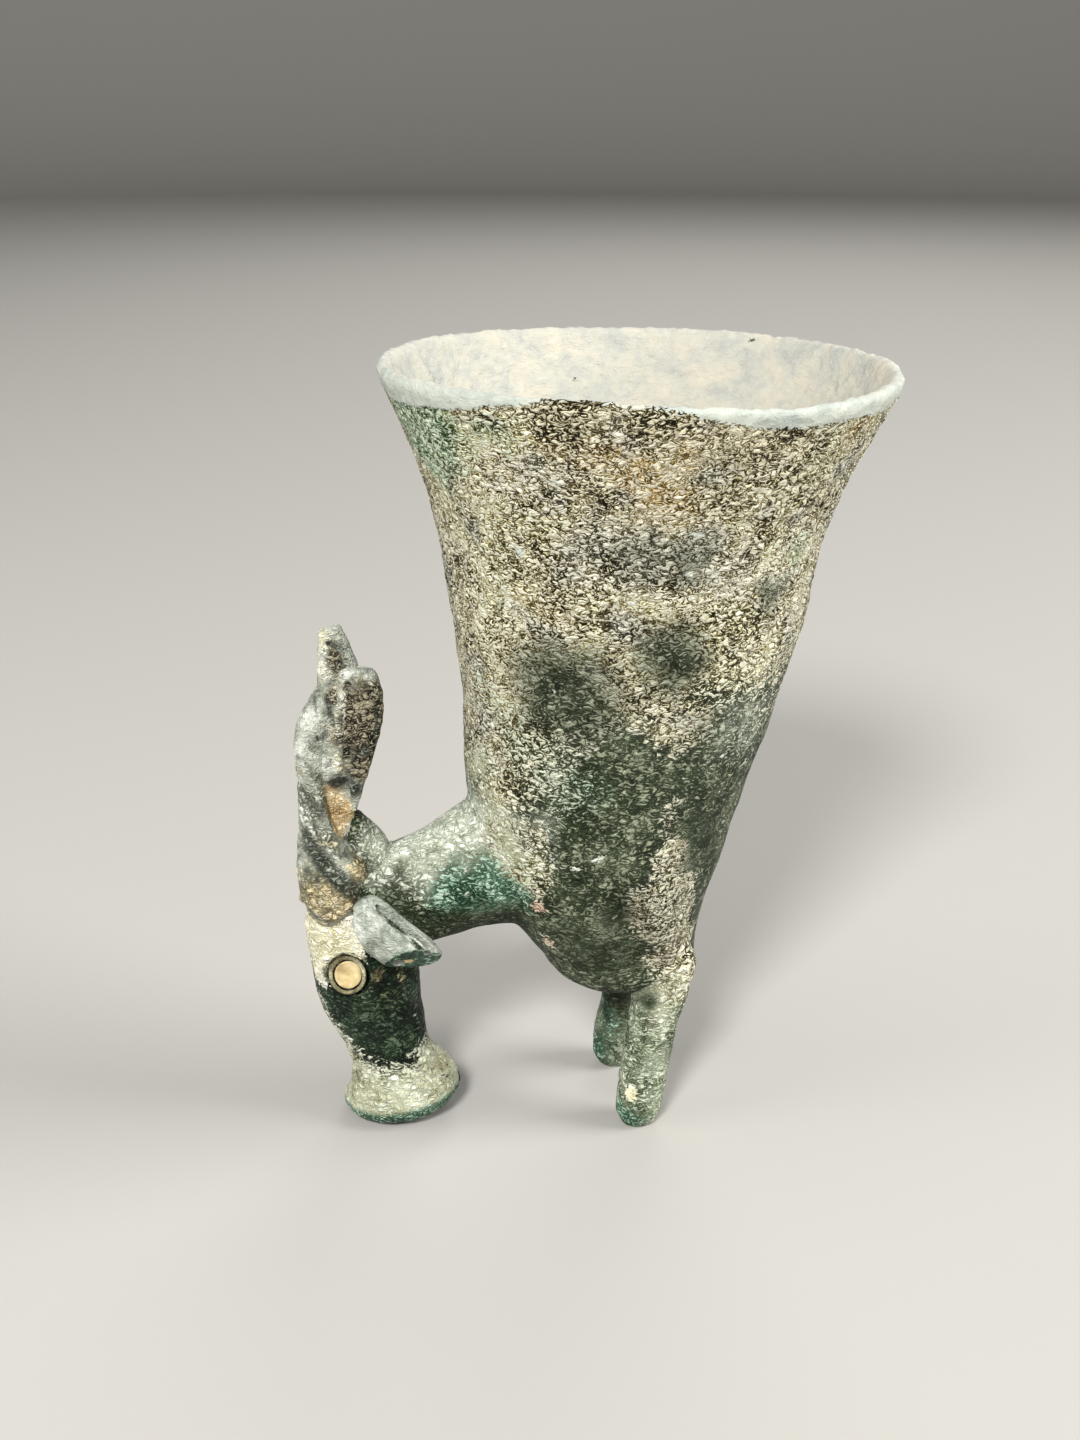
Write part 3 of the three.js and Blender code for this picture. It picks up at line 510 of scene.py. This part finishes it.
# Works folds, ridges and cracks into a mesh, on both sides of the animal
def chase(bm, lines):
    bm.normal_update()
    moves = [0.0] * len(bm.verts)
    spots = [Vector((vert.co.x, -abs(vert.co.y), vert.co.z)) / mm for vert in bm.verts]
    for points, reach, height, mark in lines:
        low, high = (pick(point.z for point in points) for pick in (min, max))
        for index, spot in enumerate(spots):
            if low - reach < spot.z < high + reach:
                gap = lineGap(spot, points)
                if gap < reach:
                    moves[index] += height * (1 - (gap / reach) ** 2) ** 2
    for vert, move in zip(bm.verts, moves):
        vert.co += vert.normal * move * mm


# Writes the shares of stains, painted shade and painted highlights on the points, for the finish to read
def markPoints(mesh, shares):
    for kind in shares[0]:
        layer = mesh.attributes.new(kind, "FLOAT", "POINT")
        layer.data.foreach_set("value", [share[kind] for share in shares])


# A copy of CAD nodes as one merged mesh, grown a little so that fitted gaps close
def cadCopy(nodes, grow):
    bm = bmesh.new()
    for node in nodes:
        bm.from_mesh(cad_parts[node].data)
    bmesh.ops.remove_doubles(bm, verts=bm.verts, dist=0.001 * mm)
    bm.normal_update()
    for vert in bm.verts:
        vert.co += vert.normal * grow * mm
    return bm


# Casts a mesh anew: an even skin, softened
def recast(bm, voxel, rounds):
    mesh = bpy.data.meshes.new("raw")
    bm.to_mesh(mesh)
    raw = bpy.data.objects.new("raw", mesh)
    bpy.context.collection.objects.link(raw)
    skin = raw.modifiers.new("skin", "REMESH")
    skin.mode = "VOXEL"
    skin.voxel_size = voxel * mm
    soften = raw.modifiers.new("soften", "SMOOTH")
    soften.factor = 0.5
    soften.iterations = rounds
    depsgraph = bpy.context.evaluated_depsgraph_get()
    cast = bpy.data.meshes.new_from_object(raw.evaluated_get(depsgraph))
    bpy.data.objects.remove(raw)
    bm.clear()
    bm.from_mesh(cast)
    bpy.data.meshes.remove(cast)
    return bm


# Keeps the side that the normal points to, and closes the cut
def trim(bm, place, normal):
    parts = bm.verts[:] + bm.edges[:] + bm.faces[:]
    cut = bmesh.ops.bisect_plane(bm, geom=parts, plane_co=place, plane_no=normal, clear_inner=True)
    edges = [part for part in cut["geom_cut"] if isinstance(part, bmesh.types.BMEdge)]
    bmesh.ops.bridge_loops(bm, edges=edges)
    for edge in edges:
        edge.smooth = False


# Makes an object of a mesh, at the origin, riding on the CAD body
def addPiece(name, bm, finish, nodes, shares=None):
    for face in bm.faces:
        face.smooth = True
    for vert in bm.verts:
        vert.co.z = max(vert.co.z, 0.0)
    mesh = bpy.data.meshes.new(name)
    bm.to_mesh(mesh)
    if shares:
        markPoints(mesh, [shares(vert.co / mm, vert.normal) for vert in bm.verts])
    mesh.materials.append(finishes[finish])
    piece = bpy.data.objects.new(name, mesh)
    bpy.context.collection.objects.link(piece)
    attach(piece, body)
    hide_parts(*nodes)
    print(name, len(mesh.polygons), "faces")
    bm.free()
    return piece


# The cast wall: beaker, body, head and muzzle flow into each other, then part at their joints
castWall = {
    "nodes": ["beaker", "protome_body", "seam_solder", "head", "neck_solder", "muzzle_lip"],
    "headNodes": ["protome_body", "head", "neck_solder", "muzzle_lip"],
    "closeGap": 0.17, "voxel": 0.485, "headVoxel": 0.3, "rounds": 10, "headRounds": 5, "headRough": 0.3,
    "seam": (0.0, 0.0, 46.85), "neck": (-22.6, 0.0, 30.9), "neckAxis": (-0.934, 0.0, -0.357),
    "waist": (-25.6, 0.0, 8.4),
}
seam, neck, waist = (Vector(castWall[key]) * mm for key in ("seam", "neck", "waist"))
up, headward = Vector((0, 0, 1)), Vector(castWall["neckAxis"])
wall = recast(cadCopy(castWall["nodes"], castWall["closeGap"]), castWall["voxel"], castWall["rounds"])
chase(wall, wallLines)
weather(wall, crustShare)
headCopy = cadCopy(castWall["headNodes"], castWall["closeGap"])
skull = recast(headCopy, castWall["headVoxel"], castWall["headRounds"])
weather(skull, lambda spot: castWall["headRough"])
print("cast wall", len(wall.verts), "and head", len(skull.verts), "points")

# Mouth: the rim's height by direction, and the pale band that widens to front and back
mouthBand = {
    "centre": 5.0, "directions": 90, "middle": -4.0, "narrow": 0.6, "front": 3.8, "back": 2.8, "near": 3.0,
    "far": 20.0, "lowest": 85.0,
}
rimHeight = [0.0] * mouthBand["directions"]


def direction(spot):
    turn = atan2(spot.y, spot.x - mouthBand["centre"]) / tau
    return int(turn * mouthBand["directions"]) % mouthBand["directions"]


for vert in wall.verts:
    spot = vert.co / mm
    rimHeight[direction(spot)] = max(rimHeight[direction(spot)], spot.z)


# Bowl: a cone that opens upwards; near its axis, points facing a little downwards also count as inside
bowl = {
    "centre": 1.8, "top": 46.0, "radius": 9.75, "level": 22.0, "flare": 0.33, "floor": 17.2, "middle": 0.8,
    "upward": 0.3, "downward": -0.3,
}


# A line paints its mark this strongly, and is looked for this far from its start in mm
lineStrength, lineSpan = 1.3, 12.0


def addLines(found, lines, spot):
    for points, reach, height, mark in lines:
        if mark and (spot - points[0]).length < lineSpan:
            found[mark] = max(found[mark], lineStrength * (1 - lineGap(spot, points) / reach))


# The hidden side of a pair is painted like the one that shows, painted shade and highlights included
def pairShares(marks, lines=()):
    def shares(spot, normal):
        near = Vector((spot.x, -abs(spot.y), spot.z))
        found = {kind: markShare(spots, near) for kind, spots in marks.items()}
        addLines(found, lines, near)
        return found
    return shares


# The muzzle is bare and dark; its pale end starts along a line that sags to both sides
muzzle = {
    "top": 31.0, "fadeUp": 5.0, "neckFrom": -2.0, "neckTo": 3.0, "middle": -26.0, "half": 5.0, "line": 8.0,
    "sag": 3.0, "fade": 3.5, "cover": 0.8, "rim": 2.8, "rimRise": 0.15, "rimFade": 1.0, "faceX": -17.0,
    "faceZ": 32.0,
}
# Veins of other tones run through the crust; flecks lie behind the neck
veins = {
    "size": 5.0, "strength": 1.5, "offsets": {"ochre": 0.0, "ash": 50.0, "umber": 90.0},
    "fleckSize": 1.2, "fleckFrom": 0.6, "fleckTo": 0.8, "fleckX": -20.0, "crustZ": 40.0, "past": 0.3,
}


# Whether a point is inside the vessel, by where it lies and which way it faces
def insideShare(spot, normal):
    across = Vector((spot.x - bowl["centre"], spot.y))
    inward = normal.x * across.x + normal.y * across.y < 0
    if spot.z > bowl["top"]:
        return 1.0 if inward else -1.0
    off = across.length / (bowl["radius"] + bowl["flare"] * (spot.z - bowl["level"]))
    facing = inward or normal.z > bowl["upward" if off > bowl["middle"] else "downward"]
    return 1.0 if off < 1 and facing and spot.z > bowl["floor"] else -1.0


# The pale band round the rim
def bandShare(spot):
    if spot.z < mouthBand["lowest"]:
        return -1.0
    off = ease(abs(spot.x - mouthBand["middle"]), mouthBand["near"], mouthBand["far"])
    wide = mouthBand["front" if spot.x < mouthBand["middle"] else "back"]
    band = mouthBand["narrow"] + (wide - mouthBand["narrow"]) * off
    return max(-1.0, min(1.0, band - (rimHeight[direction(spot)] - spot.z)))


# All stains, painted shade and painted light of beaker, chest, head and muzzle at one spot
def wallShares(spot, normal):
    shares = {kind: markShare(spots, spot) for kind, spots in wallStainsShadeAndLight.items() if kind != "bare"}
    crust = crustShare(spot)
    shares["crust"] = crust
    for kind, offset in veins["offsets"].items():
        vein = veins["strength"] * noise.noise(spot / veins["size"] + Vector((offset, 0, 0)))
        shares[kind] = min(crust, max(shares[kind], vein))
    if spot.z > veins["crustZ"]:
        for kind in ("moss", "warm"):
            shares[kind] = min(shares[kind], crust + veins["past"])
    speck = ease(noise.noise(spot / veins["fleckSize"]), veins["fleckFrom"], veins["fleckTo"])
    shares["fleck"] = max(shares["fleck"], speck * (spot.x > veins["fleckX"]))
    addLines(shares, wallLines, spot)
    beyond = (spot - neck / mm).dot(headward)
    below = ease(muzzle["top"] - spot.z, -muzzle["fadeUp"], muzzle["fadeUp"])
    shares["deep"] = ease(beyond, muzzle["neckFrom"], muzzle["neckTo"]) * below
    inside, band = insideShare(spot, normal), bandShare(spot)
    shares["mouth"] = max(inside, band)
    shares["rim"] = -1.0 if inside > 0 else band
    if shares["mouth"] > 0.5:
        shares["fleck"] = 0.0
    if spot.x < muzzle["faceX"] and spot.z < muzzle["faceZ"]:
        face = pairShares(faceStainsAndShade)(spot, normal)
        paleLine = muzzle["line"] + muzzle["sag"] * ((spot.x - muzzle["middle"]) / muzzle["half"]) ** 2
        shares["cream"] = face["cream"]
        shares["lime"] = muzzle["cover"] * ease(paleLine - spot.z, -muzzle["fade"], muzzle["fade"])
        rim = muzzle["rim"] + muzzle["rimRise"] * (spot.x - muzzle["middle"])
        shares["teal"] = max(shares["teal"], ease(rim - spot.z, -muzzle["rimFade"], muzzle["rimFade"]))
        shares["dark"] = max(shares["dark"], face["dark"])
    return shares


def plainShares(marks):
    return lambda spot, normal: {kind: markShare(spots, spot) for kind, spots in marks.items()}


beaker = wall.copy()
trim(beaker, seam, up)
addPiece("beaker_cast", beaker, "wall", ["beaker"], wallShares)
chest = wall.copy()
trim(chest, seam, -up)
trim(chest, neck, -headward)
addPiece("chest_and_neck", chest, "wall", ["protome_body"], wallShares)
head = skull.copy()
trim(head, neck, headward)
trim(head, waist, up)
addPiece("horned_head", head, "wall", ["head"], wallShares)
lip = skull.copy()
trim(lip, neck, headward)
trim(lip, waist, -up)
addPiece("muzzle_lip_flare", lip, "wall", ["muzzle_lip"], wallShares)


# Presses a piece on to what carries it, so that no gap shows
def seat(bm, carrier, reach, sink):
    tree = BVHTree.FromBMesh(carrier)
    for vert in bm.verts:
        spot, normal, index, gap = tree.find_nearest(vert.co, reach * mm)
        if spot:
            vert.co += (spot - normal * sink * mm - vert.co) * (1 - gap / (reach * mm))


# Legs, ears and horns: cast on one by one, softened and seated on their carrier
limbs = {
    "foreleg": {"carrier": wall, "voxel": 0.3, "rounds": 8, "rough": 0.45, "finish": "leg", "lines": []},
    "ear": {"carrier": skull, "voxel": 0.16, "rounds": 3, "rough": 0.1, "finish": "ear",
            "lines": earLines},
    "horn": {"carrier": skull, "voxel": 0.2, "rounds": 4, "rough": 0.5, "finish": "horn",
             "lines": hornLines},
}
# The cut-off end of an ear, turned down and away from the light, is painted dark teal, found by the way it
# faces: teal patina darkened as painted shade
earCrop = {"facing": (0.04, 0.75, -0.66), "from": 0.75, "to": 0.95}


def earShares(spot, normal):
    shares = pairShares(earStains, earLines)(spot, normal)
    x, y, z = earCrop["facing"]
    facing = normal.dot(Vector((x, y if spot.y > 0 else -y, z)))
    shares["teal"] = max(shares["teal"], ease(facing, earCrop["from"], earCrop["to"]))
    return shares


# Veins all round the horns: size in mm, strength and offset
hornVeins = {"stone": (2.2, 1.3, 0.0), "earth": (3.0, 1.1, 30.0), "dark": (1.6, 0.9, 60.0)}


def hornShares(spot, normal):
    shares = pairShares(hornStainsShadeAndHighlights, hornLines)(spot, normal)
    for kind, (size, strength, offset) in hornVeins.items():
        vein = strength * noise.noise(spot / size + Vector((offset, 0, 0)))
        shares[kind] = max(shares[kind], vein)
    return shares


limbShares = {
    "left_foreleg": plainShares(legStainsAndShade), "right_foreleg": plainShares(farLegShadeAndStains),
    "left_ear": earShares, "right_ear": earShares,
    "left_horn": hornShares, "right_horn": hornShares,
}
seating = {"reach": 1.3, "sink": 0.5}
for kind, limb in limbs.items():
    for side in ("left", "right"):
        node = f"{side}_{kind}"
        shape = recast(cadCopy([node], 0.0), limb["voxel"], limb["rounds"])
        chase(shape, limb["lines"])
        weather(shape, lambda spot: limb["rough"])
        seat(shape, limb["carrier"], **seating)
        addPiece(f"{node}_cast", shape, limb["finish"], [node], limbShares[node])
print("limbs done")


# Eyes: a rounded bezel in its socket, and paste pressed inside it
eye = {"facing": (-0.33, 0.9, 0.25), "ringRadius": 2.2, "ringRound": 0.25, "steps": 64, "profile": 14,
       "inlayRadius": 1.7, "inlayDepth": 1.2, "dish": 0.3, "dishRings": 5, "dishSplit": 6.5, "rise": 0.25}


def eyeFrame(side):
    low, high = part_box(f"{side}_eye_ring")
    x, y, z = eye["facing"]
    facing = Vector((x, y if side == "right" else -y, z)).normalized()
    return Matrix.Translation((low + high) / 2) @ facing.to_track_quat("Z", "Y").to_matrix().to_4x4()


for side in ("left", "right"):
    ring = bmesh.new()
    bmesh.ops.create_circle(ring, radius=eye["ringRound"] * mm, segments=eye["profile"])
    bmesh.ops.rotate(ring, verts=ring.verts, cent=(0, 0, 0), matrix=Matrix.Rotation(tau / 4, 3, "X"))
    bmesh.ops.translate(ring, verts=ring.verts, vec=(eye["ringRadius"] * mm, 0, eye["rise"] * mm))
    bmesh.ops.spin(ring, geom=ring.verts[:] + ring.edges[:], cent=(0, 0, 0), axis=(0, 0, 1), angle=tau,
                   steps=eye["steps"], use_merge=True)
    bmesh.ops.recalc_face_normals(ring, faces=ring.faces)
    ring.transform(eyeFrame(side))
    addPiece(f"{side}_eye_bezel", ring, "bezel", [f"{side}_eye_ring"])

    paste = bmesh.new()
    bmesh.ops.create_circle(paste, cap_ends=True, radius=eye["inlayRadius"] * mm, segments=eye["steps"])
    back = bmesh.ops.extrude_face_region(paste, geom=paste.faces[:])
    bmesh.ops.translate(paste, verts=[p for p in back["geom"] if isinstance(p, bmesh.types.BMVert)],
                        vec=(0, 0, -eye["inlayDepth"] * mm))
    bmesh.ops.recalc_face_normals(paste, faces=paste.faces)
    front = max(paste.faces, key=lambda face: face.calc_center_median().z)
    for ringNumber in range(1, eye["dishRings"] + 1):
        bmesh.ops.inset_region(paste, faces=[front], thickness=eye["inlayRadius"] * mm / eye["dishSplit"],
                               depth=-eye["dish"] * mm / ringNumber)
    bmesh.ops.translate(paste, verts=paste.verts, vec=(0, 0, eye["rise"] * mm))
    paste.transform(eyeFrame(side))
    addPiece(f"{side}_eye_paste", paste, "paste", [f"{side}_eye_inlay"])
print("eyes done")

for node in ("seam_solder", "neck_solder"):
    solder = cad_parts[node]
    solder.data.materials.clear()
    solder.data.materials.append(finishes["solder"])


# Stage: a round pale sweep; a key lamp in front, and soft lamps overhead, at both sides and behind
stage = {
    "floor": "#a5a29c", "radius": 2.0, "steps": 96, "rise": 0.9, "bend": 0.4, "bendSteps": 12, "rough": 0.9,
    "aim": (0, 0, 0.05), "sky": "#e8e8e6", "skyStrength": 0.14,
}
lamps = {
    "key": {"place": (-0.34, -0.85, 0.71), "size": 0.24, "power": 17.9},
    "overhead": {"place": (-0.09, -0.17, 1.1), "size": 0.68, "power": 1.7},
    "left": {"place": (-1.02, -0.17, 0.43), "size": 0.68, "power": 4.6},
    "right": {"place": (0.94, -0.2, 0.51), "size": 0.68, "power": 16.2},
    "back": {"place": (0.3, 1.0, 0.75), "size": 0.68, "power": 5.0},
}


def setStage():
    bm = bmesh.new()
    bmesh.ops.create_circle(bm, cap_ends=True, radius=stage["radius"], segments=stage["steps"])
    rim = bm.edges[:]
    risen = bmesh.ops.extrude_edge_only(bm, edges=rim)
    bmesh.ops.translate(bm, verts=[p for p in risen["geom"] if isinstance(p, bmesh.types.BMVert)],
                        vec=(0, 0, stage["rise"]))
    bmesh.ops.bevel(bm, geom=rim, offset=stage["bend"], offset_type="OFFSET", affect="EDGES",
                    segments=stage["bendSteps"], profile=0.5, material=-1)
    bmesh.ops.recalc_face_normals(bm, faces=bm.faces)
    for face in bm.faces:
        face.smooth = len(face.verts) == 4
    mesh = bpy.data.meshes.new("sweep")
    bm.to_mesh(mesh)
    bm.free()
    material = bpy.data.materials.new("matt paper")
    material.use_nodes = True
    shader = material.node_tree.nodes["Principled BSDF"]
    shader.inputs["Base Color"].default_value = linear(stage["floor"])
    shader.inputs["Roughness"].default_value = stage["rough"]
    mesh.materials.append(material)
    sweep = bpy.data.objects.new("sweep", mesh)
    bpy.context.collection.objects.link(sweep)


def setLamps():
    for name, lamp in lamps.items():
        light = bpy.data.lights.new(name, "AREA")
        light.shape = "DISK"
        light.size = lamp["size"]
        light.energy = lamp["power"]
        holder = bpy.data.objects.new(name, light)
        bpy.context.collection.objects.link(holder)
        holder.location = lamp["place"]
        aim = Vector(stage["aim"]) - holder.location
        holder.rotation_euler = aim.to_track_quat("-Z", "Y").to_euler()
    world = bpy.data.worlds.new("studio")
    bpy.context.scene.world = world
    world.use_nodes = True
    sky = world.node_tree.nodes["Background"]
    sky.inputs["Color"].default_value = linear(stage["sky"])
    sky.inputs["Strength"].default_value = stage["skyStrength"]
    bpy.context.scene.view_settings.view_transform = "Standard"


setStage()
setLamps()
print("stage set")
